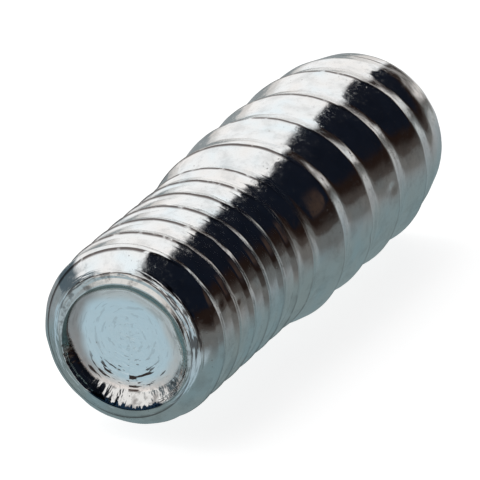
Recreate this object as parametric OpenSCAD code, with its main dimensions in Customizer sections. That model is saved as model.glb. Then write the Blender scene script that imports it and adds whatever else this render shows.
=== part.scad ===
// Double end screw: one turned and rolled pin that lies on its side.
// One end has a fine machine thread and a worn, shallow hex socket, the other a coarse thread.
// The axis runs along X, the machine end points to -X, and the crests rest on Z = 0.

/* [Machine thread] */
// Crest diameter of the machine thread
machine_d = 6.35; // [5.6:0.05:6.8]
// Distance between the crests of the machine thread
machine_pitch = 1.27; // [1:0.01:1.5]
// Number of turns that the machine thread makes before its pitch grows
machine_turns = 6; // [4:1:9]
// Depth of the groove between the machine crests
machine_groove = 0.1; // [0.05:0.01:0.25]
// Where the first machine crest passes the upper front line, from the end face
machine_start = 0.73; // [0.3:0.01:1.2]

/* [Coarse thread] */
// Crest diameter of the coarse thread
coarse_d = 7; // [6.8:0.05:8]
// Distance between the crests of the coarse thread
coarse_pitch = 2.54; // [2:0.01:3]
// Length of the coarse end, from the last machine crest to the plain end
coarse_len = 12.65; // [8:0.05:20]
// Depth of the groove between the coarse crests
coarse_groove = 0.2; // [0.1:0.01:0.4]
// Length over which the crests rise from one diameter to the other
widening_len = 1.9; // [1:0.05:2.5]

/* [Grooves] */
// Share of each turn's width over which the long flank falls from the crest to the groove's floor
fall_share = 0.35; // [0.2:0.01:0.5]
// Share of each turn's width over which the short flank climbs to the next crest
rise_share = 0.18; // [0.1:0.01:0.4]

/* [Ends] */
// Diameter of the flat ring round the socket
socket_end_d = 4.9; // [4.85:0.05:5.2]
// Length of the rounded shoulder at the machine end
shoulder_len = 1; // [0.4:0.05:1.6]
// Fullness of the shoulder: a larger number bulges more
shoulder_fullness = 2.4; // [1.5:0.1:3]
// Diameter of the flat face at the coarse end
plain_end_d = 5.4; // [4:0.05:6]
// Length of the taper at the coarse end
taper_len = 2.3; // [0.5:0.1:3]
// Radius of the rounded edge between the taper and the flat face
plain_end_edge = 0.4; // [0.1:0.05:0.5]

/* [Hex socket] */
// Width across the flats of the worn hexagon at its mouth
mouth_af = 4.15; // [3.9:0.05:4.2]
// Diameter over the rounded corners of the hexagon at its mouth
mouth_corner_d = 4.3; // [4.25:0.01:4.32]
// How much narrower the socket is at its floor than at its mouth
socket_taper = 0.65; // [0.2:0.05:1]
// Depth of the socket at its walls
socket_depth = 0.33; // [0.25:0.01:1]
// Depth of the dish in the socket's floor
dish_depth = 0.12; // [0.05:0.01:0.4]
// Diameter of the flat in the middle of the dish
dish_flat_d = 1.2; // [0.4:0.1:2]
// How far the socket lies below the screw's axis
socket_shift = 0.2; // [0:0.01:0.25]
// Turn of the hexagon about the axis, in degrees
socket_turn = 5; // [0:1:59]

/* [Smoothness] */
// Segments in each turn of the thread
turn_steps = 36; // [24:4:48]
// Segments of the turned surfaces
turned_steps = 96; // [48:12:144]

/* [Hidden] */

machine_r = machine_d / 2;
coarse_r = coarse_d / 2;
machine_len = machine_start + machine_turns * machine_pitch;
total_len = machine_len + coarse_len;
// Height of the axis when the flats of the coarse crests rest on Z = 0
rest_height = coarse_r * cos(180 / turn_steps);
// Angle of the upper front line about the axis, from the downward line
front_turn = 225;
// Turns that the thread runs on past each end face, where the blank cuts it off
spare_turns = 2;
// Points along each flank of a groove
flank_steps = 2;
// Points along a rounded edge
edge_steps = 8;
// The blank stands this far outside the crests
outside = 0.3;
// A cut starts this far outside the face that it opens
clear = 0.05;

// Place along the axis of the crest after some turns, with the pitch growing over one turn
function crest_place(turns) = let (past = turns - machine_turns, grow = coarse_pitch - machine_pitch)
    machine_start + machine_pitch * turns
    + (past <= 0 ? 0 : past < 1 ? grow * past * past / 2 : grow * (past - 0.5));

// Share of the way from the machine end's form to the coarse end's at height z
function widened(z) = let (s = min(1, max(0, (z - machine_len) / widening_len))) s * s * (3 - 2 * s);

// Value that is a at the machine end and b at the coarse end
function mixed(a, b, z) = a + (b - a) * widened(z);

// Places across a turn, as shares of its width: down the long flank, over the floor, up the short flank
across = concat([for (i = [0:flank_steps]) fall_share * i / flank_steps], [(fall_share + 1 - rise_share) / 2],
                [for (i = [0:flank_steps - 1]) 1 - rise_share * (1 - i / flank_steps)]);

// Height above the groove's floor at a share of a turn's width, as a share of the groove's depth
function ridge(share) = pow(max(0, 1 - share / fall_share), 2) + pow(max(0, 1 - (1 - share) / rise_share), 2);

// Turns of the winding at step i: the lowest line lies midway between two steps, so flats rest on Z = 0
function step_turns(i) = (i + 0.5) / turn_steps - front_turn / 360;

// Points of the threaded rod at one step of the winding: the surface from this crest to the next
function winding_step(turns) = let (z0 = crest_place(turns), z1 = crest_place(turns + 1),
                                    t = front_turn + 360 * turns)
    [for (share = across) let (z = z0 + share * (z1 - z0),
        r = mixed(machine_r, coarse_r, z) - (1 - ridge(share)) * mixed(machine_groove, coarse_groove, z))
        [r * cos(t), r * sin(t), z]];

// Rod with a thread whose pitch and diameter grow from one end to the other
module threaded_rod() {
    first = floor((front_turn / 360 - machine_start / machine_pitch - spare_turns) * turn_steps);
    last = ceil((front_turn / 360 + machine_turns + coarse_len / coarse_pitch + spare_turns) * turn_steps);
    m = len(across);
    n = last - first;
    steps = [for (i = [first:last]) winding_step(step_turns(i))];
    near_axis = [0, 0, crest_place(step_turns(first)) - machine_pitch];
    far_axis = [0, 0, crest_place(step_turns(last)) + coarse_pitch];
    points = concat([for (s = steps, p = s) p], [near_axis, far_axis]);
    near_i = len(points) - 2;
    far_i = len(points) - 1;
    // Index of point j of step i: past the last, it is the first of the step one turn on
    function at(i, j) = j < m ? i * m + j : (i + turn_steps) * m;
    w = n - turn_steps;
    walls = [for (i = [0:w - 1], j = [0:m - 1])
        each [[at(i, j), at(i + 1, j + 1), at(i, j + 1)], [at(i, j), at(i + 1, j), at(i + 1, j + 1)]]];
    near_fan = concat([for (i = [0:turn_steps - 1]) [near_i, at(i + 1, 0), at(i, 0)]],
                      [for (j = [0:m - 1]) [near_i, at(0, j), at(0, j + 1)]]);
    far_fan = concat([for (i = [w:w + turn_steps - 1]) [far_i, at(i, 0), at(i + 1, 0)]],
                     [for (j = [0:m - 1]) [far_i, at(w, j + 1), at(w, j)]]);
    polyhedron(points, concat(walls, near_fan, far_fan), convexity = 12);
}

// Rounded shoulder from the flat ring out to the crests of the machine thread
function shoulder_points(n) = let (r0 = socket_end_d / 2)
    [for (i = [0:n]) [r0 + (machine_r - r0) * (1 - pow(1 - i / n, shoulder_fullness)), shoulder_len * i / n]];

// Slope of the taper at the coarse end
taper_angle = atan((coarse_r - plain_end_d / 2 - plain_end_edge) / taper_len);

// Rounded edge from the taper over to the flat face
function end_points(n) =
    [for (i = [0:n]) let (a = taper_angle + (90 - taper_angle) * i / n)
        [plain_end_d / 2 + plain_end_edge * cos(a),
         total_len - plain_end_edge + plain_end_edge * sin(a)]];

// Turned blank: it stands clear of the crests and gives both ends their form
module blank() {
    rotate_extrude($fn = turned_steps) polygon(concat(
        [[0, 0]],
        shoulder_points(edge_steps),
        [[machine_r + outside, shoulder_len],
         [coarse_r + outside, machine_len],
         [coarse_r + outside, total_len - plain_end_edge - taper_len - outside / tan(taper_angle)]],
        end_points(edge_steps),
        [[0, total_len]]));
}

// Tapered recess with the given number of sides, open at the end face
module tapered_recess(mouth_r, sides) {
    slope = socket_taper / 2 / socket_depth;
    translate([0, 0, -clear])
        cylinder(h = socket_depth + clear, r1 = mouth_r + slope * clear, r2 = mouth_r - socket_taper / 2, $fn = sides);
}

// Worn, shallow hex recess with rounded corners, off the axis, with a dished floor
module hex_socket() {
    translate([socket_shift, 0, 0]) rotate([0, 0, socket_turn]) {
        intersection() {
            tapered_recess(mouth_af / 2 / cos(30), 6);
            tapered_recess(mouth_corner_d / 2, turned_steps);
        }
        translate([0, 0, socket_depth - clear])
            cylinder(h = clear + dish_depth, d1 = mouth_af - socket_taper, d2 = dish_flat_d, $fn = turned_steps);
    }
}

// The whole screw, standing on its machine end
module upright_screw() {
    difference() {
        intersection() {
            blank();
            threaded_rod();
        }
        hex_socket();
    }
}

module screw() {
    color("lightsteelblue") translate([-total_len / 2, 0, rest_height]) rotate([0, 90, 0]) upright_screw();
}

screw();
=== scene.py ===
"""Looks of a double end screw in bright zinc: a machine thread with a hex socket, and a coarse thread."""
import logging
import math
from dataclasses import dataclass, field
from enum import IntEnum
from functools import partial, reduce

import bpy
import numpy as np
from mathutils import Matrix, Vector

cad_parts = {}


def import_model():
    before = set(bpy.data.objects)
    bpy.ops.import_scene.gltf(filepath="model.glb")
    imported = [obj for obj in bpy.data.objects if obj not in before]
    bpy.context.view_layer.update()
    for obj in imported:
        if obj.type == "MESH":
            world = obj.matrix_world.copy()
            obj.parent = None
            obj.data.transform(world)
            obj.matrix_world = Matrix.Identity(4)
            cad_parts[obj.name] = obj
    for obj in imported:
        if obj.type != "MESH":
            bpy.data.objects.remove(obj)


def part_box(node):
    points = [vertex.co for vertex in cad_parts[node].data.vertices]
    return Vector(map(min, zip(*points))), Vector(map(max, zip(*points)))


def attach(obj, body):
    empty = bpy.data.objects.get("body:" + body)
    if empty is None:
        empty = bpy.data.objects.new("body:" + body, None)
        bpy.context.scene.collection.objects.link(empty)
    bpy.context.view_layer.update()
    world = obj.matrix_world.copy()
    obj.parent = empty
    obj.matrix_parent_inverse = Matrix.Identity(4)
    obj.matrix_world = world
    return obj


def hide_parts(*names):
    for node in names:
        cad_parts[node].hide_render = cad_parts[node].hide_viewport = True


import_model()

MM = 0.001
MICRON = 0.001 * MM
PER_MM = (1 / MM, 1 / MM, 1 / MM)
LOG = logging.getLogger("screw")

Colour = tuple[float, float, float]
Span = tuple[float, float]
Pairs = tuple[tuple[float, float], ...]
Socket = bpy.types.NodeSocket


class Zone(IntEnum):
    """Marks on the mesh that tell the finish where a point lies, from the thread into the socket.

    The points between two marks have the values between.
    """

    THREAD = 0
    LIP = 1
    MOUTH = 2
    FLOOR = 3
    MIDDLE = 4


def smooth_turn(pairs: Pairs, front: np.ndarray, width: float) -> np.ndarray:
    """Gives a value round the turn from pairs of angle and value, smoothed.

    The straight runs between the pairs are sampled evenly, and their waves are damped as by a bell curve
    of the smoothing width.

    Args:
        pairs: angles from the front line in degrees, each with its value.
        front: the angles wanted, in radians from the front line.
        width: the smoothing width in degrees.

    Returns:
        One value an angle.
    """
    samples = 720
    turns, values = np.array(pairs).T
    even = 360.0 * np.arange(samples) / samples
    wave = np.fft.rfft(np.interp(even, turns, values, period=360.0))
    damp = np.exp(-0.5 * (np.arange(len(wave)) * math.radians(width)) ** 2)
    soft = np.fft.irfft(wave * damp, samples)
    return np.interp(np.degrees(front), even, soft, period=360.0)


@dataclass
class ThreadForm:
    """Sizes of the wound thread in millimetres, with z measured from the socket end's face."""

    machine_r: float = 3.175
    machine_pitch: float = 1.27
    machine_turns: float = 6.0
    machine_start: float = 0.73
    machine_groove: float = 0.092
    machine_fall: float = 0.30
    machine_rise: float = 0.17
    coarse_r: float = 3.5
    coarse_pitch: float = 2.54
    coarse_len: float = 12.65
    coarse_groove: float = 0.195
    coarse_fall: float = 0.37
    coarse_rise: float = 0.61
    flank_power: float = 1.12
    widening_len: float = 2.2
    flank_lead: float = 1.6
    front_turn: float = math.radians(225.0)

    @property
    def machine_len(self) -> float:
        """Length of the machine end."""
        return self.machine_start + self.machine_turns * self.machine_pitch

    @property
    def total_len(self) -> float:
        """Length of the whole screw."""
        return self.machine_len + self.coarse_len

    def crest_place(self, turns: np.ndarray) -> np.ndarray:
        """Gives the height of the crest after some turns.

        The height grows by one machine pitch a turn, then the pitch grows evenly over one turn
        to the coarse pitch.

        Args:
            turns: turns of the winding, counted from the first crest on the front line.

        Returns:
            Heights from the socket end's face, in millimetres.
        """
        past = turns - self.machine_turns
        grow = self.coarse_pitch - self.machine_pitch
        extra = np.where(past <= 0, 0.0, np.where(past < 1, grow * past**2 / 2, grow * (past - 0.5)))
        return self.machine_start + self.machine_pitch * turns + extra

    def turns_at(self, z: np.ndarray) -> np.ndarray:
        """Gives the turns after which the crest reaches a height: the inverse of crest_place.

        Args:
            z: heights in millimetres.

        Returns:
            Turns of the winding.
        """
        grow = self.coarse_pitch - self.machine_pitch
        rest = z - self.machine_len
        slow = rest / self.machine_pitch
        root = np.sqrt(np.maximum(self.machine_pitch**2 + 2 * grow * rest, 0.0))
        bend = (root - self.machine_pitch) / grow
        fast = (rest + grow / 2) / self.coarse_pitch
        past = np.where(rest <= 0, slow, np.where(bend < 1, bend, fast))
        return self.machine_turns + past

    def widened(self, z: np.ndarray) -> np.ndarray:
        """Gives the smooth share of the way from the machine end's form to the coarse end's."""
        s = np.clip((z - self.machine_len) / self.widening_len, 0.0, 1.0)
        return s * s * (3 - 2 * s)

    def mixed(self, a: float, b: float, z: np.ndarray) -> np.ndarray:
        """Gives a value that is a at the machine end and b at the coarse end."""
        return a + (b - a) * self.widened(z)

    def ridge(self, share: np.ndarray, z: np.ndarray) -> np.ndarray:
        """Gives how far the surface stands above the groove's floor, as a share of the groove's depth.

        Behind a crest it falls as a power, a little over one, of the distance left to the floor, so the
        flank is nearly straight. It rises the same way to the next crest: quickly after a level floor in the
        machine thread, and slowly right from the fall in the coarse thread.

        Args:
            share: place across the turn, from 0 at one crest to 1 at the next.
            z: heights in millimetres.

        Returns:
            Shares from 1 at the crests to 0 on the floor.
        """
        fall = self.mixed(self.machine_fall, self.coarse_fall, z + self.flank_lead)
        rise = self.mixed(self.machine_rise, self.coarse_rise, z + self.flank_lead)
        down = np.clip(1 - share / fall, 0, 1) ** self.flank_power
        climb = np.clip(1 - (1 - share) / rise, 0, 1) ** self.flank_power
        return np.maximum(down, climb)

    def radius(self, z: np.ndarray, angle: np.ndarray) -> np.ndarray:
        """Gives the radius of the threaded surface.

        It is the crest radius less the groove's depth, at the share of the turn that the height
        has between the two crests next to it at this angle. The grooves take the coarse form a little
        before the crests widen.

        Args:
            z: heights in millimetres.
            angle: angles about the axis, from the downward line.

        Returns:
            Radii in millimetres.
        """
        phase = (angle - self.front_turn) / (2 * math.pi)
        below = np.floor(self.turns_at(z) - phase) + phase
        z0, z1 = self.crest_place(below), self.crest_place(below + 1)
        share = np.clip((z - z0) / (z1 - z0), 0.0, 1.0)
        depth = self.mixed(self.machine_groove, self.coarse_groove, z + self.flank_lead)
        return self.mixed(self.machine_r, self.coarse_r, z) - depth * (1 - self.ridge(share, z))


@dataclass
class BlankForm:
    """Sizes of the turned blank's ends, in millimetres."""

    thread: ThreadForm
    lip_r: float = 2.36
    lip_drop: float = 0.07
    corner_r: float = 2.66
    corner_len: float = 0.09
    corner_slope: float = 1.45
    shift: float = 0.11
    shift_turn: float = math.radians(125.0)
    shoulder_len: float = 1.0
    fullness: float = 1.95
    lip_edge: Pairs = (
        (-170, 2.38), (-130, 2.40), (-95, 2.45), (-74, 2.38), (-56, 2.38), (-36, 2.40), (-20, 2.36),
        (4, 2.24), (27, 2.29), (39, 2.34), (70, 2.42), (110, 2.44), (150, 2.40))
    lip_grime: Pairs = (
        (-170, 0.2), (-120, 0.4), (-95, 0.9), (40, 0.9), (60, 0.4), (80, 0.1), (170, 0.0))
    lip_smooth: float = 5.0
    plain_r: float = 2.7
    taper_len: float = 2.3
    edge_r: float = 0.4
    spare: float = 0.05
    samples: int = 900

    def outline(self) -> tuple[np.ndarray, np.ndarray, np.ndarray]:
        """Works out the blank's outline from the lip round the socket to the plain end's face.

        A short, steep corner leads from the lip to the shoulder, as a piece of a parabola. On the shoulder
        the distance from the crest radius falls as a power of the length left to its end. A straight run
        follows it, then a taper and a quarter circle. The run stands clear of the crests.

        Returns:
            Arc length, height and radius along the outline.
        """
        t, n = self.thread, self.samples
        corner_end = self.lip_drop + self.corner_len
        z_shoulder = self.lip_drop + (self.shoulder_len - self.lip_drop) * np.linspace(0, 1, n) ** 2
        c = np.clip((z_shoulder - self.lip_drop) / self.corner_len, 0, 1)
        r_corner = (self.corner_r - self.lip_r) * (self.corner_slope * c - (self.corner_slope - 1) * c**2)
        q = np.clip((z_shoulder - corner_end) / (self.shoulder_len - corner_end), 0, 1)
        r_round = (t.machine_r + self.spare - self.corner_r) * (1 - (1 - q) ** self.fullness)
        slope = math.atan((t.coarse_r - self.plain_r - self.edge_r) / self.taper_len)
        edge_z = t.total_len - self.edge_r
        z_run = np.linspace(self.shoulder_len, edge_z - self.taper_len, n)[1:]
        r_run = t.mixed(t.machine_r, t.coarse_r, z_run) + self.spare
        taper_z = (edge_z - self.taper_len, edge_z + self.edge_r * math.sin(slope))
        taper_r = (t.coarse_r + self.spare, self.plain_r + self.edge_r * math.cos(slope))
        p = np.linspace(slope, math.pi / 2, n)[1:]
        z_edge = edge_z + self.edge_r * np.sin(p)
        r_edge = self.plain_r + self.edge_r * np.cos(p)
        z = np.concatenate([z_shoulder, z_run, np.linspace(*taper_z, n)[1:], z_edge])
        r = np.concatenate([self.lip_r + r_corner + r_round, r_run, np.linspace(*taper_r, n)[1:], r_edge])
        arc = np.concatenate([[0.0], np.cumsum(np.hypot(np.diff(z), np.diff(r)))])
        return arc, z, r

    def skew(self, z: np.ndarray, angle: np.ndarray) -> np.ndarray:
        """Gives how far the worn end moves the shoulder outward.

        The shoulder's centre is shifted, which fades out along the shoulder, and the lip's edge follows its
        own worn line, which fades out over the corner.

        Args:
            z: heights in millimetres.
            angle: angles about the axis, from the downward line.

        Returns:
            Changes of the radius in millimetres.
        """
        front = angle - self.thread.front_turn
        shifted = self.shift * np.cos(front - self.shift_turn)
        edge = smooth_turn(self.lip_edge, front, self.lip_smooth) - self.lip_r
        left = np.clip(1 - z / self.shoulder_len, 0, 1) ** 2
        near = np.clip(1 - (z - self.lip_drop) / self.corner_len, 0, 1)
        return shifted * left * (1 - near) + edge * near


@dataclass
class SocketForm:
    """Sizes of the worn, shallow socket in millimetres, with angles in degrees from the front line."""

    mouth_r: float = 2.24
    mouth_shift: float = 0.26
    mouth_turn: float = math.radians(135.0)
    lip_width: float = 0.04
    lip_power: float = 1.1
    depth: float = 0.33
    sink: float = 0.05
    sink_share: float = 0.12
    dish: float = 0.06
    floor_edge: Pairs = (
        (-175, 2.02), (-160, 2.02), (-135, 2.16), (-113, 2.12), (-98, 2.06), (-88, 1.90), (-65, 1.69),
        (-40, 1.63), (-26, 1.54), (-5, 1.56), (13, 1.67), (28, 1.62), (41, 1.73), (53, 1.88), (80, 1.96),
        (97, 1.89), (120, 1.82), (143, 1.78), (160, 1.86), (173, 2.02))
    floor_smooth: float = 4.0
    bowl: Pairs = (
        (-150, 1.1), (-120, 1.2), (-90, 1.5), (-60, 1.7), (60, 1.7), (85, 1.5), (105, 1.2), (150, 1.1))
    bowl_smooth: float = 5.0

    def mouth(self, front: np.ndarray) -> np.ndarray:
        """Gives the mouth's radius about the axis: a circle whose centre lies off the axis.

        Args:
            front: angles from the front line.

        Returns:
            Radii in millimetres.
        """
        turn = front - self.mouth_turn
        side = self.mouth_shift * np.sin(turn)
        return self.mouth_shift * np.cos(turn) + np.sqrt(self.mouth_r**2 - side**2)

    def floor(self, front: np.ndarray) -> np.ndarray:
        """Gives the radius of the floor's edge: straight runs between its corners, smoothed round the turn.

        Args:
            front: angles from the front line.

        Returns:
            Radii in millimetres.
        """
        return smooth_turn(self.floor_edge, front, self.floor_smooth)


@dataclass
class Ripple:
    """Smooth random field in space: a sum of sine waves with seeded directions."""

    seed: int
    wavelength: float
    waves: int = 24

    def __post_init__(self) -> None:
        """Draws the waves' directions and phases."""
        draw = np.random.default_rng(self.seed)
        axes = draw.normal(size=(self.waves, 3))
        axes /= np.linalg.norm(axes, axis=1)[:, None]
        self.k = axes * (2 * math.pi / self.wavelength) * draw.uniform(0.6, 1.5, (self.waves, 1))
        self.phase = draw.uniform(0, 2 * math.pi, self.waves)

    def at(self, points: np.ndarray) -> np.ndarray:
        """Gives the field at points, about 1 high.

        Args:
            points: an array of places, in millimetres.

        Returns:
            One value a point.
        """
        total = np.zeros(points.shape[:-1])
        for k, p in zip(self.k, self.phase):
            total += np.sin(points @ k + p)
        return total / math.sqrt(self.waves / 2)


@dataclass(frozen=True)
class Nick:
    """A small dent in the thread: its place along the axis and from the front line, its size and depth."""

    along: float
    front: float
    size: float
    depth: float

    def push(self, z: np.ndarray, front: np.ndarray, r: np.ndarray) -> np.ndarray:
        """Gives the dent's depth at points: a bell curve of the distance over the surface.

        Args:
            z: heights in millimetres.
            front: angles from the front line.
            r: radii in millimetres.

        Returns:
            Depths in millimetres.
        """
        turn = np.mod(front - math.radians(self.front) + math.pi, 2 * math.pi) - math.pi
        away = ((z - self.along) ** 2 + (turn * r) ** 2) / (2 * self.size**2)
        return self.depth * np.exp(-away)


@dataclass
class Surface:
    """Points, faces and marks of each point: its share of a crest seam, dark with dirt and painted shade, and
    its zone.
    """

    points: np.ndarray
    corners: np.ndarray
    lengths: np.ndarray
    seam: np.ndarray
    zone: np.ndarray


@dataclass
class ScrewMesh:
    """The closed surface of the screw: a wound sheet with a socket at one end and a flat at the other.

    Sizes are in millimetres. The sheet is wound for some turns before and after the screw, where its points
    are held at the two ends, and its shares say where the points of a row lie between two crests.
    """

    thread: ThreadForm
    blank: BlankForm
    socket: SocketForm
    columns: int = 300
    turns_before: int = 3
    turns_after: float = 2.0
    shares: tuple[float, ...] = (
        0.0, 0.03, 0.07, 0.12, 0.17, 0.21, 0.25, 0.30, 0.34, 0.38, 0.44, 0.54, 0.65, 0.75, 0.80, 0.84, 0.88,
        0.92, 0.95, 0.98)
    crest_round: float = 0.02
    seam_width: float = 0.15
    # Strength of the crest seam round the turn: painted shade, strong where the plating mirrors the lit half
    # of the studio and faint where it mirrors the dark half.
    seam_shade_strength: Pairs = (
        (-175, 0.6), (-120, 0.9), (-28, 1.0), (-12, 0.3), (25, 0.15), (50, 0.3), (75, 0.5), (140, 0.6))
    seam_smooth: float = 4.0
    lumps: Ripple = field(default_factory=lambda: Ripple(3, 1.5))
    dimples: Ripple = field(default_factory=lambda: Ripple(5, 0.45))
    sway: Ripple = field(default_factory=lambda: Ripple(8, 0.9))
    lump_height: float = 0.0025
    dimple_height: float = 0.0005
    sway_width: float = 0.014
    wear_from_r: float = 2.3
    wear_fade: float = 0.3
    sway_fade: float = 0.8
    nicks: tuple[Nick, ...] = (
        Nick(4.59, -52, 0.09, 0.03), Nick(12.15, 4, 0.13, 0.04), Nick(13.09, 54, 0.14, 0.06),
        Nick(15.2, 37, 0.14, 0.05), Nick(7.16, 55, 0.10, 0.04), Nick(2.56, 27, 0.10, 0.03),
        Nick(1.4, 20, 0.12, 0.03), Nick(17.6, 62, 0.15, 0.05), Nick(11.0, 148, 0.14, 0.05))

    @property
    def flat(self) -> np.ndarray:
        """Shares of the way from the lip's edge to the mouth."""
        return np.array([0.12, 0.3, 0.5, 0.7, 0.88, 1.0])

    @property
    def slant(self) -> np.ndarray:
        """Shares of the way from the mouth to the floor's edge."""
        return np.linspace(0, 1, 15)[1:]

    @property
    def inward(self) -> np.ndarray:
        """Shares of the way from the floor's edge to its middle."""
        return np.linspace(0, 1, 26)[1:-1]

    @property
    def front(self) -> np.ndarray:
        """Angles of the columns from the front line."""
        return 2 * math.pi * np.arange(self.columns) / self.columns

    def circle(self, r: np.ndarray, z: np.ndarray | float) -> np.ndarray:
        """Gives points on rings of one radius for each column.

        Args:
            r: radii, with the columns along the last axis.
            z: heights of the points or of the rings.

        Returns:
            Points in millimetres.
        """
        angle = self.thread.front_turn + self.front
        return np.stack([r * np.cos(angle), r * np.sin(angle), z + 0 * r], -1)

    def wall(self) -> tuple[np.ndarray, np.ndarray, np.ndarray]:
        """Works out the side wall as a sheet wound round the axis.

        Each row of the sheet lies at one angle and spans the surface from one crest to the next, with points
        closer together near the crests. The radius is the lesser of the blank's and the thread's. Past the
        two ends the points are held at the lip and at the plain end's rim, where all points of a column
        share one place.

        Returns:
            Points, with the lip's and then the rim's points last, quads, and seam shares.
        """
        t, n = self.thread, self.columns
        arc, z_of, r_of = self.blank.outline()
        last = t.turns_at(np.array(t.total_len)) + self.turns_after
        step = np.arange(-self.turns_before * n, math.ceil(last * n))
        turns = step / n
        share = np.array(self.shares)
        # Past the shoulder, the arc length runs ahead of the height by this much
        ahead = arc[self.blank.samples - 1] - self.blank.shoulder_len
        s0, s1 = t.crest_place(turns) + ahead, t.crest_place(turns + 1) + ahead
        s = s0[:, None] + share * (s1 - s0)[:, None]
        low, high = s <= 0, s >= arc[-1]
        s = np.clip(s, 0, arc[-1])
        z = np.interp(s, arc, z_of)
        angle = (t.front_turn + 2 * math.pi * turns)[:, None] + 0 * z
        whole = np.interp(s, arc, r_of) + self.blank.skew(z, angle)
        r = self.soft_least(whole, t.radius(z, angle), self.crest_round)
        points = np.stack([r * np.cos(angle), r * np.sin(angle), z], -1).reshape(-1, 3)
        left = (1 - share) * (s1 - s0)[:, None]
        crest = np.maximum(1 - left / self.seam_width, share == 0).clip(0, 1)
        # The seam's share is dirt and painted shade along the crests; its strength round the turn is painted
        # shade.
        seam = crest * smooth_turn(self.seam_shade_strength, 2 * math.pi * turns, self.seam_smooth)[:, None]
        column = np.mod(step, n)[:, None] + 0 * low
        base = len(points)
        index = np.arange(base).reshape(z.shape)
        index = np.where(low, base + column, np.where(high, base + n + column, index))
        rows = np.concatenate([index[:-n], index[n:, :1]], 1)
        quads = np.stack([rows[:-1, :-1], rows[1:, :-1], rows[1:, 1:], rows[:-1, 1:]], -1).reshape(-1, 4)
        lip = self.circle(self.lip(), self.blank.lip_drop)
        rim = self.circle(np.full(n, self.blank.plain_r), t.total_len)
        grimy = smooth_turn(self.blank.lip_grime, self.front, self.blank.lip_smooth)
        return np.concatenate([points, lip, rim]), quads, np.concatenate([seam.ravel(), grimy, np.zeros(n)])

    def lip(self) -> np.ndarray:
        """Gives the radius of the lip round the socket for each column."""
        angle = self.thread.front_turn + self.front
        return self.blank.lip_r + self.blank.skew(0 * angle, angle)

    def zones(self, wall: int, plain: int) -> np.ndarray:
        """Gives the zone of each point, in the order in which build joins them.

        Args:
            wall: number of points of the side wall.
            plain: number of points of the plain end's rings.

        Returns:
            The zones.
        """
        n = self.columns
        rings = np.concatenate([Zone.LIP + self.flat, Zone.MOUTH + self.slant, Zone.FLOOR + self.inward])
        return np.concatenate([
            np.full(wall, Zone.THREAD), np.full(n, Zone.LIP), np.full(n, Zone.THREAD), np.repeat(rings, n),
            np.full(plain, Zone.THREAD), [Zone.MIDDLE, Zone.THREAD]])

    @staticmethod
    def soft_least(a: np.ndarray, b: np.ndarray, width: float) -> np.ndarray:
        """Gives the lesser of two values, rounded over a width where they cross."""
        h = np.clip(0.5 + 0.5 * (b - a) / width, 0, 1)
        return b * (1 - h) + a * h - width * h * (1 - h)

    def socket_rings(self) -> np.ndarray:
        """Works out the rings from the lip down the socket's worn walls to the middle of its floor.

        The lip is a narrow band that slopes up to the mouth. The wall's depth is the whole depth less a power
        of the way left to the floor's edge: a steep bowl on the upper side and a nearly straight slope below.
        The floor sinks quickly at first and then as a parabola.

        Returns:
            Points, ring by ring and column by column.
        """
        f = self.socket
        lip = self.lip()
        mouth = np.minimum(f.mouth(self.front), lip - f.lip_width)
        floor = f.floor(self.front)
        flat, slant, inward = self.flat[:, None], self.slant[:, None], self.inward[:, None]
        r = np.concatenate([
            lip + (mouth - lip) * flat, mouth + (floor - mouth) * slant, floor * (1 - inward)])
        crown = self.blank.lip_drop * (1 - flat) ** f.lip_power
        sunk = f.depth * (1 - (1 - slant) ** smooth_turn(f.bowl, self.front, f.bowl_smooth))
        dished = f.depth + f.sink * (1 - np.exp(-inward / f.sink_share)) + f.dish * (1 - (1 - inward) ** 2)
        z = np.concatenate([crown + 0 * lip, sunk + 0 * lip, dished + 0 * lip])
        return self.circle(r, z)

    def plain_rings(self) -> np.ndarray:
        """Works out the rings from the plain end's rim to its middle, ring by ring."""
        r = self.blank.plain_r * np.linspace(1, 0, 12)[1:-1, None] + 0 * self.front
        return self.circle(r, self.thread.total_len)

    def faces_between(self, rings: np.ndarray) -> np.ndarray:
        """Gives the quads between rings of point indices, from ring to ring and then round the turn."""
        following = np.roll(rings, -1, 1)
        return np.stack([rings[:-1], rings[1:], following[1:], following[:-1]], -1).reshape(-1, 4)

    def build(self) -> Surface:
        """Works out the whole closed surface, upright on its socket end.

        Returns:
            The surface.
        """
        n = self.columns
        points, quads, seam = self.wall()
        base = len(points)
        lip, rim = base - 2 * n + np.arange(n), base - n + np.arange(n)
        cup, plain = self.socket_rings(), self.plain_rings()
        cup_index = base + np.arange(cup.shape[0] * n).reshape(-1, n)
        plain_index = cup_index[-1, -1] + 1 + np.arange(plain.shape[0] * n).reshape(-1, n)
        middle, pole = plain_index[-1, -1] + 1, plain_index[-1, -1] + 2
        deepest = self.socket.depth + self.socket.sink + self.socket.dish
        tips = np.array([[0, 0, deepest], [0, 0, self.thread.total_len]])
        points = np.concatenate([points, cup.reshape(-1, 3), plain.reshape(-1, 3), tips])
        near = self.faces_between(np.concatenate([lip[None], cup_index]))
        far = self.faces_between(np.concatenate([rim[None], plain_index])[:, ::-1])
        inner, outer = cup_index[-1], plain_index[-1]
        fans = np.concatenate([
            np.stack([inner, np.full(n, middle), np.roll(inner, -1)], -1),
            np.stack([outer, np.roll(outer, -1), np.full(n, pole)], -1)])
        corners, lengths = self.tidy(np.concatenate([quads, near, far]), fans)
        seam = np.concatenate([seam, np.zeros(len(points) - len(seam))])
        zone = self.zones(base - 2 * n, plain.shape[0] * n)
        return Surface(self.worn(points), corners, lengths, seam, zone)

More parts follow.
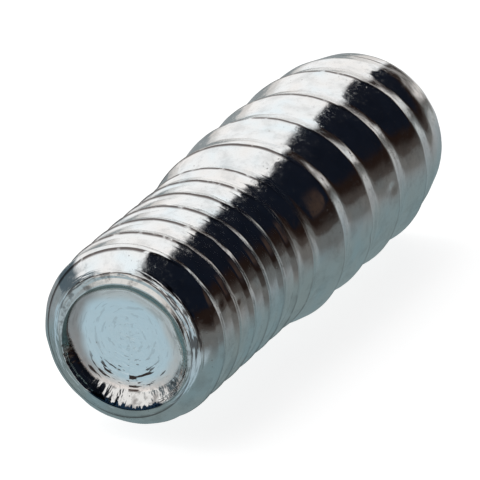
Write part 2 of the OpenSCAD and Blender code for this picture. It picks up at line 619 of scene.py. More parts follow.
    def worn(self, points: np.ndarray) -> np.ndarray:
        """Adds the small lumps, the sway of the crests and the nicks to the wall's points.

        Lumps, dimples and nicks lower the radius, and the sway moves points along the axis. All fade out
        inside the lip, and the sway also towards the two ends.

        Args:
            points: places in millimetres.

        Returns:
            The moved places.
        """
        r = np.linalg.norm(points[:, :2], axis=1)
        z = points[:, 2]
        front = np.arctan2(points[:, 1], points[:, 0]) - self.thread.front_turn
        outside = np.clip((r - self.wear_from_r) / self.wear_fade, 0, 1)
        from_ends = np.minimum(z, self.thread.total_len - z)
        inside = np.clip(from_ends / self.sway_fade, 0, 1)
        high = self.lump_height * self.lumps.at(points) + self.dimple_height * self.dimples.at(points)
        dent = sum(nick.push(z, front, r) for nick in self.nicks)
        sunk = (np.clip(high + self.lump_height, 0, None) + dent) * outside
        moved = points.copy()
        moved[:, :2] *= (1 - sunk / np.maximum(r, 1e-6))[:, None]
        moved[:, 2] += self.sway_width * self.sway.at(points) * outside * inside
        return moved

    @staticmethod
    def tidy(quads: np.ndarray, fans: np.ndarray) -> tuple[np.ndarray, np.ndarray]:
        """Drops repeated corners: a quad with one becomes a triangle, and with two it goes.

        Args:
            quads: rows of four corner indices.
            fans: rows of three corner indices.

        Returns:
            All corner indices in one row, and each face's corner count.
        """
        same = quads == np.roll(quads, -1, 1)
        whole = quads[~same.any(1)]
        once = same.sum(1) == 1
        thirds = np.concatenate([quads[once][~same[once]].reshape(-1, 3), fans])
        corners = np.concatenate([whole.ravel(), thirds.ravel()])
        lengths = np.concatenate([np.full(len(whole), 4), np.full(len(thirds), 3)])
        return corners, lengths

    def make(self, name: str, height: float) -> bpy.types.Object:
        """Builds the surface and lays it down along X.

        Args:
            name: the object's name.
            height: height of the axis above the floor in millimetres.

        Returns:
            The new object.
        """
        made = self.build()
        used, corners = np.unique(made.corners, return_inverse=True)
        upright = made.points[used]
        along = upright[:, 2] - self.thread.total_len / 2
        laid = np.stack([along, upright[:, 1], height - upright[:, 0]], -1)
        marks = {"seam": made.seam[used], "zone": made.zone[used]}
        return make_object(name, laid * MM, corners, made.lengths, marks)


def make_object(name: str, points: np.ndarray, corners: np.ndarray, lengths: np.ndarray,
                marks: dict[str, np.ndarray]) -> bpy.types.Object:
    """Makes a mesh object from arrays, with smooth faces and attributes.

    Args:
        name: the object's name.
        points: places in metres.
        corners: corner indices, face after face.
        lengths: corner count of each face.
        marks: values of each point, by the attribute's name.

    Returns:
        The new object, linked to the scene.
    """
    mesh = bpy.data.meshes.new(name)
    mesh.vertices.add(len(points))
    mesh.vertices.foreach_set("co", points.astype(np.float32).ravel())
    mesh.loops.add(len(corners))
    mesh.loops.foreach_set("vertex_index", corners.astype(np.int32).ravel())
    mesh.polygons.add(len(lengths))
    starts = np.concatenate([[0], np.cumsum(lengths)[:-1]])
    mesh.polygons.foreach_set("loop_start", starts.astype(np.int32))
    mesh.update(calc_edges=True)
    mesh.polygons.foreach_set("use_smooth", np.ones(len(mesh.polygons), dtype=bool))
    for mark, values in marks.items():
        layer = mesh.attributes.new(mark, "FLOAT", "POINT")
        layer.data.foreach_set("value", values.astype(np.float32))
    obj = bpy.data.objects.new(name, mesh)
    bpy.context.scene.collection.objects.link(obj)
    return obj


@dataclass(frozen=True)
class CameraFit:
    """The photograph's camera, as it was fitted to the helix and the outline."""

    off_axis: float = math.radians(31.0)
    image_turn: float = math.radians(41.1)
    distance_mm: float = 192.4
    face_px: tuple[float, float] = (78.6, 381.1)
    face_before_mm: float = 3.695
    px_per_mm: float = 30.93
    zoom: float = 1.012
    shift_px: tuple[float, float] = (0.5, 0.2)
    image_px: float = 480.0
    sensor_mm: float = 36.0

    def place(self, half_len: float, height: float) -> bpy.types.Object:
        """Makes the camera.

        Its axes follow from the screw's axis in the image and the angle between that axis and the
        view, with the camera upright over the floor.

        Args:
            half_len: half of the screw's length in millimetres.
            height: height of the screw's axis in millimetres.

        Returns:
            The camera object.
        """
        th, ps = self.off_axis, self.image_turn
        a = math.pi - math.atan(math.tan(ps) / math.cos(th))
        lift = Vector((0, math.cos(a), math.sin(a)))
        side = Vector((0, -math.sin(a), math.cos(a)))
        along = Vector((1, 0, 0))

        def world(x: float, y: float, z: float) -> Vector:
            """Turns components along the screw's axis, its front line and its side into the frame."""
            return along * x + lift * y + side * z

        right = world(math.sin(th) * math.cos(ps), math.cos(th) * math.cos(ps), math.sin(ps))
        up = world(math.sin(th) * math.sin(ps), math.cos(th) * math.sin(ps), -math.cos(ps))
        back = world(-math.cos(th), math.sin(th), 0)
        half = self.image_px / 2
        anchor = Vector((-half_len - self.face_before_mm, 0, height))
        dx = (self.face_px[0] + self.shift_px[0] - half) / self.px_per_mm
        dy = (half - self.face_px[1] - self.shift_px[1]) / self.px_per_mm
        eye = anchor - right * dx - up * dy + back * self.distance_mm
        data = bpy.data.cameras.new("camera")
        data.sensor_width = self.sensor_mm
        data.lens = self.sensor_mm * self.distance_mm * self.px_per_mm * self.zoom / self.image_px
        data.clip_start = 10 * MM
        data.clip_end = 20.0
        cam = bpy.data.objects.new("camera", data)
        turn = Matrix((right, up, back)).transposed().to_4x4()
        cam.matrix_world = Matrix.Translation(eye * MM) @ turn
        bpy.context.scene.collection.objects.link(cam)
        bpy.context.scene.camera = cam
        LOG.info("camera lens %.1f mm, looking %s", data.lens, tuple(round(v, 3) for v in -back))
        return cam


class Nodes:
    """Short hand for making shader nodes in a tree."""

    def __init__(self, tree: bpy.types.NodeTree) -> None:
        """Keeps the tree."""
        self.tree = tree

    @classmethod
    def group(cls, name: str, inputs: dict[str, str], outputs: dict[str, str]) -> "Nodes":
        """Makes an empty node group with named sockets.

        Args:
            name: the group's name.
            inputs: kind of each input by its name, such as Float or Color.
            outputs: kind of each output by its name.

        Returns:
            Short hand for the group's tree.
        """
        tree = bpy.data.node_groups.new(name, "ShaderNodeTree")
        for way, kinds in (("INPUT", inputs), ("OUTPUT", outputs)):
            for label, kind in kinds.items():
                tree.interface.new_socket(label, in_out=way, socket_type=f"NodeSocket{kind}")
        return cls(tree)

    def put_out(self, label: str, result: Socket) -> bpy.types.NodeTree:
        """Links a result to the group's output.

        Args:
            label: the output's name.
            result: the socket with the result.

        Returns:
            The finished group.
        """
        self.link(result, self.tree.nodes.new("NodeGroupOutput").inputs[label])
        return self.tree

    def place_group(self, group: bpy.types.NodeTree, **inputs: Socket) -> bpy.types.NodeOutputs:
        """Places a node group in the tree.

        Args:
            group: the group.
            inputs: a socket for each of its inputs.

        Returns:
            The placed group's outputs.
        """
        node = self.tree.nodes.new("ShaderNodeGroup")
        node.node_tree = group
        for label, socket in inputs.items():
            self.link(socket, node.inputs[label])
        return node.outputs

    def add(self, kind: str, **values: object) -> bpy.types.Node:
        """Adds a node and sets its properties, or its inputs where a key names one.

        Args:
            kind: the node's type.
            values: properties by name, inputs by name with spaces as underscores.

        Returns:
            The node.
        """
        node = self.tree.nodes.new(kind)
        for key, value in values.items():
            if hasattr(node, key):
                setattr(node, key, value)
            else:
                node.inputs[key.replace("_", " ")].default_value = value
        return node

    def link(self, a: Socket, b: Socket) -> None:
        """Links an output to an input."""
        self.tree.links.new(a, b)

    def feed(self, target: Socket, value: object) -> None:
        """Links a socket to an input, or sets the input to a plain value.

        Args:
            target: the input.
            value: the socket or the value.
        """
        if isinstance(value, Socket):
            self.link(value, target)
        else:
            target.default_value = value

    def math(self, operation: str, *values: float | Socket) -> Socket:
        """Adds a Math node and gives its output.

        Args:
            operation: what the node does.
            values: its values or sockets, in order.

        Returns:
            The result's socket.
        """
        node = self.add("ShaderNodeMath", operation=operation)
        for target, value in zip(node.inputs, values):
            self.feed(target, value)
        return node.outputs[0]

    def product(self, *values: float | Socket) -> Socket:
        """Gives the product of values and sockets."""
        return reduce(partial(self.math, "MULTIPLY"), values)

    def total(self, *values: float | Socket) -> Socket:
        """Gives the sum of values and sockets."""
        return reduce(partial(self.math, "ADD"), values)

    def dot(self, a: Socket, b: Vector) -> Socket:
        """Gives the dot product of a vector socket and a constant vector.

        Args:
            a: the vector socket.
            b: the constant vector.

        Returns:
            The product's socket.
        """
        node = self.add("ShaderNodeVectorMath", operation="DOT_PRODUCT")
        self.feed(node.inputs[0], a)
        self.feed(node.inputs[1], b)
        return node.outputs["Value"]

    def split(self, vector: Socket) -> tuple[Socket, ...]:
        """Splits a vector into its three components.

        Args:
            vector: the vector's socket.

        Returns:
            The sockets of X, Y and Z.
        """
        node = self.add("ShaderNodeSeparateXYZ")
        self.link(vector, node.inputs[0])
        return tuple(node.outputs)

    def ramp(self, value: Socket, span: Span) -> Socket:
        """Gives a mask that steps smoothly from 0 to 1.

        Args:
            value: what the mask follows.
            span: the value where the mask is 0, then the value where it is 1.

        Returns:
            The mask's socket.
        """
        node = self.add("ShaderNodeMapRange", interpolation_type="SMOOTHSTEP")
        self.link(value, node.inputs["Value"])
        node.inputs["From Min"].default_value, node.inputs["From Max"].default_value = span
        return node.outputs["Result"]

    def blend(self, mask: Socket, a: Colour | Socket, b: Colour | Socket) -> Socket:
        """Mixes two colours by a mask.

        Args:
            mask: share of the second colour.
            a: first colour or socket.
            b: second colour or socket.

        Returns:
            The mixed colour's socket.
        """
        node = self.add("ShaderNodeMix", data_type="RGBA")
        self.link(mask, node.inputs[0])
        colours = [i for i in node.inputs if i.type == "RGBA"]
        for target, value in zip(colours, (a, b)):
            self.feed(target, value if isinstance(value, Socket) else (*value, 1.0))
        return next(o for o in node.outputs if o.type == "RGBA")


@dataclass(frozen=True)
class Studio:
    """The soft studio round the screw, which the plating mirrors.

    Directions have a turn, in degrees to the right of the camera's level forward direction, and a rise, in
    degrees above the horizon. Places are in metres. A pair says where a mask is 0 and where it is 1.
    """

    forward: Vector
    white: Colour = (1.0, 1.0, 1.0)
    wall: Colour = (0.72, 0.70, 0.68)
    night: Colour = (0.006, 0.008, 0.014)
    brown: Colour = (0.016, 0.009, 0.007)
    glow: Colour = (0.050, 0.031, 0.024)
    mist: Colour = (0.060, 0.050, 0.045)
    shade: Colour = (0.20, 0.26, 0.27)
    middle: Colour = (0.31, 0.33, 0.34)
    paper: Colour = (0.56, 0.56, 0.55)
    left_paper: Colour = (0.27, 0.30, 0.31)
    open_paper: Colour = (0.90, 0.90, 0.89)
    apron: Colour = (0.43, 0.53, 0.58)
    slate: Colour = (0.09, 0.12, 0.14)
    dusk: Colour = (0.15, 0.15, 0.145)
    floor_grey: Colour = (0.4, 0.4, 0.4)
    floor_shine: float = 0.86
    floor_half: float = 2.0
    lean_below: float = 30.0
    lean_rate: float = 0.4
    fold_above: float = 45.0
    fold_rate: float = 1.6
    edge_turn: Span = (23.5, 20.5)
    back_turn: Span = (-152, -142)
    low_back_turn: Span = (-172, -162)
    low_back_rise: Span = (14, 9)
    backdrop_right: Span = (32.5, 29.5)
    backdrop_left: Span = (-40, -20)
    backdrop_rise: Span = (8.5, 4.5)
    brown_rise: Span = (17, 11)
    mist_rise: Span = (8, 1)
    glow_left: Span = (87, 93)
    glow_right: Span = (110, 101)
    glow_top: Span = (38, 24)
    glow_foot: Span = (12, 19)
    slate_left: Span = (-122, -112)
    slate_right: Span = (-30, -42)
    slate_rise: Span = (24, 13)
    wall_rise: Span = (9, 3)
    left_y: Span = (0.006, 0.014)
    open_x: Span = (-0.024, -0.050)
    open_y: Span = (-0.004, -0.016)
    open_slope: float = 0.7
    middle_reach: Span = (0.005, 0.018)
    apron_x: Span = (-0.0122, -0.0140)
    paper_reach: Span = (0.014, 0.045)
    dusk_aside: Span = (0.006, 0.016)
    mist_aside: Span = (0.016, 0.120)
    lamp_ahead: float = 0.03
    lamp_left: float = 0.10
    lamp_height: float = 0.25
    lamp_size: float = 0.15
    lamp_energy: float = 0.10

    @property
    def right(self) -> Vector:
        """Level direction to the camera's right."""
        return Vector((self.forward.y, -self.forward.x, 0))

    def lit(self, n: Nodes, turn: Socket, rise: Socket) -> Socket:
        """Gives the mask of the lit half.

        The half reaches from behind the camera, further round near the horizon, over the left to an edge
        on the right. The edge leans to the left low down and folds over to the right high up.

        Args:
            n: the tree's nodes.
            turn: turn of the direction.
            rise: rise of the direction.

        Returns:
            The mask's socket.
        """
        low = n.math("SUBTRACT", self.lean_below, n.math("MINIMUM", rise, self.lean_below))
        high = n.math("MAXIMUM", n.math("SUBTRACT", rise, self.fold_above), 0.0)
        leaned = n.total(turn, n.product(low, self.lean_rate))
        edge = n.math("SUBTRACT", leaned, n.product(high, self.fold_rate))
        low_back = n.product(n.ramp(turn, self.low_back_turn), n.ramp(rise, self.low_back_rise))
        back = n.math("MAXIMUM", n.ramp(turn, self.back_turn), low_back)
        return n.product(n.ramp(edge, self.edge_turn), back)

    def room(self, n: Nodes, turn: Socket, rise: Socket) -> Socket:
        """Gives the dark half's colour: night blue, brown and then misty towards the horizon, with a glow.

        Args:
            n: the tree's nodes.
            turn: turn of the direction.
            rise: rise of the direction.

        Returns:
            The colour's socket.
        """
        room = n.blend(n.ramp(rise, self.brown_rise), self.night, self.brown)
        room = n.blend(n.ramp(rise, self.mist_rise), room, self.mist)
        glow = n.product(n.ramp(turn, self.glow_left), n.ramp(turn, self.glow_right),
                         n.ramp(rise, self.glow_top), n.ramp(rise, self.glow_foot))
        return n.blend(glow, room, self.glow)

    def screen(self, n: Nodes, turn: Socket, rise: Socket) -> Socket:
        """Gives the lit half's colour: white, a pale wall near the horizon, and slate low on the left.

        Args:
            n: the tree's nodes.
            turn: turn of the direction.
            rise: rise of the direction.

        Returns:
            The colour's socket.
        """
        screen = n.blend(n.ramp(rise, self.wall_rise), self.white, self.wall)
        left = n.product(n.ramp(turn, self.slate_left), n.ramp(turn, self.slate_right),
                         n.ramp(rise, self.slate_rise))
        return n.blend(left, screen, self.slate)

    def world(self) -> None:
        """Makes the world: white to the camera, and a lit half and a dark half to the plating.

        A strip of pale wall stands behind the screw, low over the horizon.
        """
        world = bpy.data.worlds.new("studio")
        world.use_nodes = True
        bpy.context.scene.world = world
        world.node_tree.nodes.clear()
        n = Nodes(world.node_tree)
        way = n.add("ShaderNodeTexCoord").outputs["Generated"]
        turn = n.product(n.math("ARCTAN2", n.dot(way, self.right), n.dot(way, self.forward)), math.degrees(1))
        rise = n.product(n.math("ARCSINE", n.dot(way, Vector((0, 0, 1)))), math.degrees(1))
        seen = n.blend(self.lit(n, turn, rise), self.room(n, turn, rise), self.screen(n, turn, rise))
        backdrop = n.product(n.ramp(turn, self.backdrop_right), n.ramp(turn, self.backdrop_left),
                             n.ramp(rise, self.backdrop_rise))
        seen = n.blend(backdrop, seen, self.wall)
        camera = n.add("ShaderNodeLightPath").outputs["Is Camera Ray"]
        back = n.add("ShaderNodeBackground")
        n.link(n.blend(camera, seen, self.white), back.inputs["Color"])
        n.link(back.outputs[0], n.add("ShaderNodeOutputWorld").inputs["Surface"])

    def ground(self, n: Nodes) -> Socket:
        """Works out the floor's colour in reflections.

        It carries painted shade near the metal that mirrors it, set by the ray's length, is bluish in front
        of the socket, and pale further off: darker on the left, and nearly white out in the open in front. On
        the screw's right side, where the dark half of the room stands over it, painted shade turns it dusky
        and then dark.

        Args:
            n: the nodes of the floor's tree.

        Returns:
            The colour's socket.
        """
        x, y, _ = n.split(n.add("ShaderNodeTexCoord").outputs["Object"])
        reach = n.add("ShaderNodeLightPath").outputs["Ray Length"]
        far = n.blend(n.ramp(y, self.left_y), self.paper, self.left_paper)
        ahead = n.math("MULTIPLY_ADD", x, self.open_slope, y)
        far = n.blend(n.product(n.ramp(x, self.open_x), n.ramp(ahead, self.open_y)), far, self.open_paper)
        # Painted shadow on the floor near the metal: short rays see the shade colour.
        colour = n.blend(n.ramp(reach, self.middle_reach), self.shade, self.middle)
        colour = n.blend(n.ramp(x, self.apron_x), colour, self.apron)
        colour = n.blend(n.ramp(reach, self.paper_reach), colour, far)
        # Painted shade on the screw's right side, under the dark half of the room.
        aside = n.product(y, -1.0)
        colour = n.blend(n.ramp(aside, self.dusk_aside), colour, self.dusk)
        return n.blend(n.ramp(aside, self.mist_aside), colour, self.mist)

    def floor_material(self) -> bpy.types.Material:
        """Makes the floor's material: lit paper to the camera, the ground's colours with their painted shade
        to the plating.

        Returns:
            The material.
        """
        mat = bpy.data.materials.new("pale_floor")
        mat.use_nodes = True
        mat.node_tree.nodes.clear()
        n = Nodes(mat.node_tree)
        mirrored = n.add("ShaderNodeEmission")
        n.link(self.ground(n), mirrored.inputs["Color"])
        paper = n.add("ShaderNodeBsdfDiffuse", Color=(*self.floor_grey, 1.0))
        shine = n.add("ShaderNodeEmission", Color=(*self.white, 1.0), Strength=self.floor_shine)
        seen = n.add("ShaderNodeAddShader")
        n.link(paper.outputs[0], seen.inputs[0])
        n.link(shine.outputs[0], seen.inputs[1])
        mix = n.add("ShaderNodeMixShader")
        n.link(n.add("ShaderNodeLightPath").outputs["Is Camera Ray"], mix.inputs[0])
        n.link(mirrored.outputs[0], mix.inputs[1])
        n.link(seen.outputs[0], mix.inputs[2])
        n.link(mix.outputs[0], n.add("ShaderNodeOutputMaterial").inputs["Surface"])
        return mat

    def floor(self) -> None:
        """Makes the floor, a square sheet that takes the screw's soft shadow."""
        h = self.floor_half
        mesh = bpy.data.meshes.new("floor")
        mesh.from_pydata([(-h, -h, 0), (h, -h, 0), (h, h, 0), (-h, h, 0)], [], [(0, 1, 2, 3)])
        mesh.materials.append(self.floor_material())
        floor = bpy.data.objects.new("floor", mesh)
        bpy.context.scene.collection.objects.link(floor)

    def lamp(self) -> None:
        """Makes one soft lamp above the screw, a little to the left, which the plating doesn't mirror."""
        data = bpy.data.lights.new("key", "AREA")
        data.energy = self.lamp_energy
        data.size = self.lamp_size
        lamp = bpy.data.objects.new("key", data)
        place = self.forward * self.lamp_ahead - self.right * self.lamp_left
        place.z = self.lamp_height
        lamp.location = place
        lamp.rotation_mode = "QUATERNION"
        lamp.rotation_quaternion = (-place).to_track_quat("-Z", "Y")
        lamp.visible_glossy = False
        bpy.context.scene.collection.objects.link(lamp)


@dataclass(frozen=True)
class Cloud:
    """A noise pattern: its stretch on the three axes, scale, detail and roughness, and its mask's span."""

    stretch: tuple[float, float, float] = PER_MM
    scale: float = 1.0
    detail: float = 2.0
    roughness: float = 0.6
    span: Span = (0.0, 1.0)

    def noise(self, n: Nodes, places: Socket) -> Socket:
        """Adds the noise texture over the stretched places.

        Args:
            n: the tree's nodes.
            places: the places' socket.

        Returns:
            The noise value's socket.
        """
        stretched = n.add("ShaderNodeVectorMath", operation="MULTIPLY")
        n.feed(stretched.inputs[0], places)
        n.feed(stretched.inputs[1], self.stretch)
        texture = n.add("ShaderNodeTexNoise", Scale=self.scale, Detail=self.detail, Roughness=self.roughness)
        n.link(stretched.outputs[0], texture.inputs["Vector"])
        return texture.outputs["Fac"]

    def mask(self, n: Nodes, places: Socket) -> Socket:
        """Gives the noise's mask over its span."""
        return n.ramp(self.noise(n, places), self.span)


@dataclass(frozen=True)
class ZincPlating:
    """Bright zinc over steel: a bluish mirror with fine scratches, pits and dark seams at the crests, whose
    darkness is dirt and painted shade.

    Lengths are in metres, but the relief's heights are in micrometres, and places on the lathe are in
    millimetres: along the screw, round it and off its axis. The matt values are shares of roughness.
    """

    cool: Colour = (0.80, 0.87, 0.90)
    plain: Colour = (0.86, 0.87, 0.87)
    warm: Colour = (0.86, 0.84, 0.82)
    smudged: Colour = (0.58, 0.59, 0.59)
    # Dirt, and also the painted shade of the crest seams.
    grime_and_shade: Colour = (0.07, 0.05, 0.045)
    # Painted dark reflection, laid in a jagged fringe low in the socket.
    dark_reflection: Colour = (0.010, 0.024, 0.045)
    rubbed: Colour = (0.76, 0.75, 0.73)
    # Painted reflection of the shaded floor in the socket's upper wall.
    teal_reflection: Colour = (0.26, 0.38, 0.38)
    ring: Colour = (0.90, 0.84, 0.80)
    # Painted shade on the left of the socket's ring.
    shaded_ring: Colour = (0.50, 0.45, 0.43)
    blue: Colour = (0.86, 0.96, 1.0)
    axis_height: float = 3.487 * MM
    half_len: float = 10.5 * MM
    mean_r: float = 3.3
    smudge_share: float = 0.55
    lip_share: float = 0.6
    scratch_share: float = 0.85
    speck_share: float = 0.7
    seam_share: float = 0.92
    seam_span: Span = (0.1, 0.7)
    ragged: float = 0.35
    jagged: float = 0.9
    patches: Cloud = Cloud(scale=0.55, span=(0.36, 0.52))
    warm_patches: Span = (0.50, 0.66)
    smudges: Cloud = Cloud(scale=1.5, detail=4.0, span=(0.42, 0.72))
    lip_patches: Cloud = Cloud(scale=2.2, detail=4.0, span=(0.48, 0.66))
    floor_streaks: Cloud = Cloud((0.1, 0.55, 7), span=(0.575, 0.615))
    fringe_jags: Cloud = Cloud((0.1, 4.2, 0.6), detail=3.0)
    scratches: Cloud = Cloud((12, 0.8, 9), span=(0.47, 0.55))
    specks: Cloud = Cloud(scale=9.0, span=(0.72, 0.78))
    seam_breaks: Cloud = Cloud(scale=2.6, detail=3.0, span=(0.26, 0.46))
    haze: Cloud = Cloud(scale=1.4, detail=3.0, span=(0.35, 0.70))
    spots: Cloud = Cloud(scale=6.0, span=(0.50, 0.72))
    polish: float = 0.08
    haze_matt: float = 0.07
    spot_matt: float = 0.13
    floor_matt: float = 0.22
    grain: Cloud = Cloud(scale=5.0)
    grain_height: float = 2.0
    pits: Cloud = Cloud(scale=9.0, detail=1.0, span=(0.70, 0.84))
    pit_depth: float = 4.0
    streaks: Cloud = Cloud((9, 0.6, 0.1))
    streak_height: float = 1.4
    striae: Cloud = Cloud((9, 0.9, 8), detail=1.5)
    stria_height: float = 50.0
    folds: Cloud = Cloud((1.0, 2.2, 2.0))
    fold_height: float = 40.0
    tool_marks: Cloud = Cloud((0.1, 0.7, 7))
    mark_height: float = 14.0

    def above_axis(self, start: float, full: float) -> Span:
        """Gives a span of heights above the screw's axis, from millimetres."""
        return self.axis_height + start * MM, self.axis_height + full * MM

    def lathe_group(self) -> bpy.types.NodeTree:
        """Makes the group that turns a place into distances along, round and from the screw's axis.

        Returns:
            The group, with the output Place in millimetres.
        """
        n = Nodes.group("lathe_place", {}, {"Place": "Vector"})
        x, y, z = n.split(n.add("ShaderNodeTexCoord").outputs["Object"])
        side = n.product(y, 1 / MM)
        up = n.product(n.math("SUBTRACT", z, self.axis_height), 1 / MM)
        joined = n.add("ShaderNodeCombineXYZ")
        n.link(n.product(x, 1 / MM), joined.inputs[0])
        n.link(n.product(n.math("ARCTAN2", side, up), self.mean_r), joined.inputs[1])
        n.link(n.math("SQRT", n.total(n.product(side, side), n.product(up, up))), joined.inputs[2])
        return n.put_out("Place", joined.outputs[0])

    def socket_colour(self, n: Nodes, colour: Socket, zone: Socket, patch: Socket, point: Socket) -> Socket:
        """Lays the socket's colours over the plating's, with edges that the soft patches make ragged.

        The lip is rubbed, with grimy patches. The upper wall is tinted a dark blue-green, a painted
        reflection of the shaded floor. A ring, with painted shade on its left, frames the floor, which is
        pale blue.
        floor, which is pale blue.

        Args:
            n: the tree's nodes.
            colour: the plating's colour.
            zone: the zone.
            patch: noise value of the soft patches.
            point: places in metres.

        Returns:
            The colour's socket.
        """
        _, y, z = n.split(point)
        left = n.ramp(y, (0.7 * MM, 1.6 * MM))
        upper = n.ramp(z, self.above_axis(-0.9, -0.3))
        ragged = n.total(zone, n.product(n.math("SUBTRACT", patch, 0.5), self.ragged))
        lip = n.blend(n.product(self.lip_patches.mask(n, point), self.lip_share), self.rubbed, self.grime_and_shade)
        colour = n.blend(n.ramp(zone, (Zone.LIP - 0.15, Zone.LIP)), colour, lip)
        # Painted reflection: the upper wall takes the shaded floor's blue-green.
        wall = n.product(upper, n.ramp(ragged, (Zone.MOUTH - 0.02, Zone.MOUTH + 0.08)))
        colour = n.blend(wall, colour, self.teal_reflection)
        # Painted shade: the ring is dimmer on the left.
        ring = n.blend(left, self.ring, self.shaded_ring)
        outer = n.product(n.ramp(ragged, (Zone.FLOOR - 0.38, Zone.FLOOR - 0.20)),
                          n.math("MAXIMUM", upper, left))
        colour = n.blend(outer, colour, ring)
        colour = n.blend(n.ramp(ragged, (Zone.FLOOR - 0.05, Zone.FLOOR + 0.05)), colour, ring)
        return n.blend(n.ramp(ragged, (Zone.FLOOR + 0.08, Zone.FLOOR + 0.30)), colour, self.blue)

    def socket_dirt_and_dark_reflection(self, n: Nodes, colour: Socket, zone: Socket, place: Socket, point: Socket) -> Socket:
        """Lays dirt and a painted dark reflection over the socket's lower part: dirty streaks on its floor
        and a dark, jagged fringe of painted reflection at the wall's foot.

        Args:
            n: the tree's nodes.
            colour: the colour under the dirt.
            zone: the zone.
            place: places on the lathe.
            point: places in metres.

        Returns:
            The colour's socket.
        """
        z = n.split(point)[2]
        below = n.math("MULTIPLY_ADD", n.ramp(z, self.above_axis(-0.5, -1.2)), 0.85, 0.15)
        dirty = n.product(n.ramp(zone, (Zone.FLOOR - 0.2, Zone.FLOOR)), below,
                          self.floor_streaks.mask(n, place))
        colour = n.blend(dirty, colour, self.grime_and_shade)
        # Painted dark reflection: a jagged, dark fringe on the socket's lower wall near the mouth.
        jagged = n.total(zone, n.product(self.fringe_jags.noise(n, place), self.jagged))
        fringe = n.product(n.ramp(z, self.above_axis(-1.9, -2.0)),
                           n.ramp(zone, (Zone.MOUTH - 0.25, Zone.MOUTH - 0.15)), n.ramp(jagged, (2.72, 2.66)))
        return n.blend(fringe, colour, self.dark_reflection)

    def scratched_strip(self, n: Nodes, colour: Socket, zone: Socket, place: Socket) -> Socket:
        """Lays grimy scratches along the lip's corner, over a part of the turn.

        Args:
            n: the tree's nodes.
            colour: the colour under the scratches.
            zone: the zone.
            place: places on the lathe.

        Returns:
            The colour's socket.
        """
        along, turn, _ = n.split(place)
        depth = n.total(along, self.half_len / MM)
        strip = n.product(n.ramp(depth, (0.24, 0.16)), n.ramp(zone, (Zone.LIP - 0.3, Zone.LIP - 0.7)),
                          n.ramp(turn, (-0.4, -1.2)), n.ramp(turn, (-6.3, -5.4)))
        strip = n.product(strip, self.scratches.mask(n, place), self.scratch_share)
        return n.blend(strip, colour, self.grime_and_shade)

    def colour_group(self, lathe: bpy.types.NodeTree) -> bpy.types.NodeTree:
        """Makes the group for the plating's colour.

        Large soft patches go from cool to warm, under fainter smudges. Over them lie the socket's colours,
        with their painted reflections and painted shade, the socket's dirt, the scratched strip on the lip's
        corner, a few specks and the seams of dirt and painted shade.

        Args:
            lathe: the group that gives places on the lathe.

        Returns:
            The group, with the inputs Seam and Zone and the output Base Color.
        """
        n = Nodes.group("plating_colour", {"Seam": "Float", "Zone": "Float"}, {"Base Color": "Color"})
        marks = n.add("NodeGroupInput").outputs
        zone = marks["Zone"]
        point = n.add("ShaderNodeTexCoord").outputs["Object"]
        place = n.place_group(lathe)["Place"]
        patch = self.patches.noise(n, point)
        colour = n.blend(n.ramp(patch, self.patches.span), self.cool, self.plain)
        colour = n.blend(n.ramp(patch, self.warm_patches), colour, self.warm)
        smudge = n.product(self.smudges.mask(n, point), self.smudge_share)
        colour = n.blend(smudge, colour, self.smudged)
        colour = self.socket_colour(n, colour, zone, patch, point)
        colour = self.socket_dirt_and_dark_reflection(n, colour, zone, place, point)
        colour = self.scratched_strip(n, colour, zone, place)
        speck = n.product(self.specks.mask(n, point), self.speck_share)
        colour = n.blend(speck, colour, self.grime_and_shade)
        # The crest seams: dirt and painted shade darken the crests.
        seam = n.ramp(marks["Seam"], self.seam_span)
        seam = n.product(seam, self.seam_breaks.mask(n, point), self.seam_share)
        return n.put_out("Base Color", n.blend(seam, colour, self.grime_and_shade))

    def roughness_group(self) -> bpy.types.NodeTree:
        """Makes the group for the plating's roughness: bright, with haze, small matt spots and a matt floor.

        Returns:
            The group, with the input Zone and the output Roughness.
        """
        n = Nodes.group("plating_roughness", {"Zone": "Float"}, {"Roughness": "Float"})
        zone = n.add("NodeGroupInput").outputs["Zone"]
        point = n.add("ShaderNodeTexCoord").outputs["Object"]
        haze = n.product(self.haze.mask(n, point), self.haze_matt)
        spots = n.product(self.spots.mask(n, point), self.spot_matt)
        floor = n.product(n.ramp(zone, (Zone.FLOOR - 0.15, Zone.FLOOR + 0.1)), self.floor_matt)
        return n.put_out("Roughness", n.total(haze, self.polish, floor, spots))

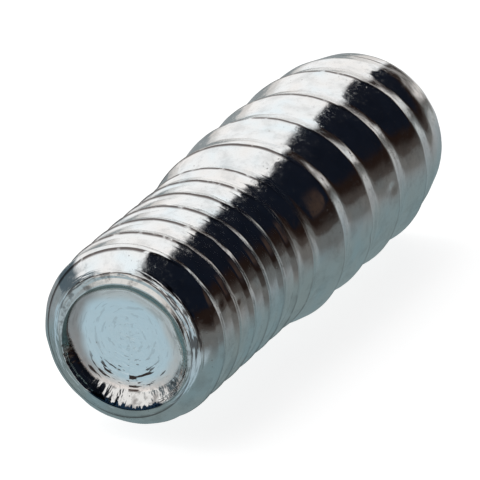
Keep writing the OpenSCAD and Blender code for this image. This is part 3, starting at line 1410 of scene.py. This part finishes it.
    def relief_group(self, lathe: bpy.types.NodeTree) -> bpy.types.NodeTree:
        """Makes the group for the plating's relief, in micrometres.

        It adds a fine grain, sparse pits, streaks round the thread, striations on the lip's corner, folds in
        the socket's walls and curved tool marks in its floor.

        Args:
            lathe: the group that gives places on the lathe.

        Returns:
            The group, with the input Zone and the output Height.
        """
        n = Nodes.group("plating_relief", {"Zone": "Float"}, {"Height": "Float"})
        zone = n.add("NodeGroupInput").outputs["Zone"]
        point = n.add("ShaderNodeTexCoord").outputs["Object"]
        place = n.place_group(lathe)["Place"]
        along, turn, off = n.split(place)
        depth = n.total(along, self.half_len / MM)
        corner = n.product(n.ramp(depth, (0.22, 0.12)), n.ramp(off, (2.2, 2.3)))
        wall = n.product(n.ramp(zone, (Zone.MOUTH - 0.3, Zone.MOUTH + 0.1)),
                         n.ramp(zone, (Zone.FLOOR + 0.1, Zone.FLOOR - 0.1)),
                         n.ramp(n.math("ABSOLUTE", turn), (2.0, 6.5)))
        floor = n.ramp(zone, (Zone.FLOOR - 0.05, Zone.FLOOR + 0.1))
        height = n.total(
            n.product(self.grain.noise(n, point), self.grain_height),
            n.product(self.pits.mask(n, point), -self.pit_depth),
            n.product(self.streaks.noise(n, place), self.streak_height),
            n.product(self.striae.noise(n, place), corner, self.stria_height),
            n.product(self.folds.noise(n, place), wall, self.fold_height),
            n.product(self.tool_marks.noise(n, place), floor, self.mark_height))
        return n.put_out("Height", height)

    def material(self) -> bpy.types.Material:
        """Makes the material.

        Returns:
            The plating's material.
        """
        mat = bpy.data.materials.new("zinc_plating")
        mat.use_nodes = True
        n = Nodes(mat.node_tree)
        shader = mat.node_tree.nodes["Principled BSDF"]
        shader.inputs["Metallic"].default_value = 1.0
        lathe = self.lathe_group()
        seam = n.add("ShaderNodeAttribute", attribute_name="seam").outputs["Fac"]
        zone = n.add("ShaderNodeAttribute", attribute_name="zone").outputs["Fac"]
        colour = n.place_group(self.colour_group(lathe), Seam=seam, Zone=zone)["Base Color"]
        roughness = n.place_group(self.roughness_group(), Zone=zone)["Roughness"]
        height = n.place_group(self.relief_group(lathe), Zone=zone)["Height"]
        bump = n.add("ShaderNodeBump", Strength=1.0, Distance=MICRON)
        n.link(colour, shader.inputs["Base Color"])
        n.link(roughness, shader.inputs["Roughness"])
        n.link(height, bump.inputs["Height"])
        n.link(bump.outputs["Normal"], shader.inputs["Normal"])
        return mat


def main() -> None:
    """Builds the screw's surface, its finish, the studio and the camera, and reports them."""
    logging.basicConfig(level=logging.INFO, format="%(message)s")
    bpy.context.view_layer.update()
    lo, hi = (np.array(v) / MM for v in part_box("screw"))
    height = float((lo[2] + hi[2]) / 2)
    thread = ThreadForm()
    blank = BlankForm(thread)
    mesh = ScrewMesh(thread, blank, SocketForm())
    obj = mesh.make("screw_surface", height)
    obj.data.materials.append(ZincPlating().material())
    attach(obj, "root")
    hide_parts("screw")
    LOG.info("%s: %d points, %d faces", obj.name, len(obj.data.vertices), len(obj.data.polygons))
    cam = CameraFit().place(thread.total_len / 2, height)
    look = cam.matrix_world.to_3x3() @ Vector((0, 0, -1))
    studio = Studio(Vector((look.x, look.y, 0)).normalized())
    studio.world()
    studio.floor()
    studio.lamp()
    bpy.context.scene.view_settings.view_transform = "Standard"


if __name__ == "__main__":
    main()
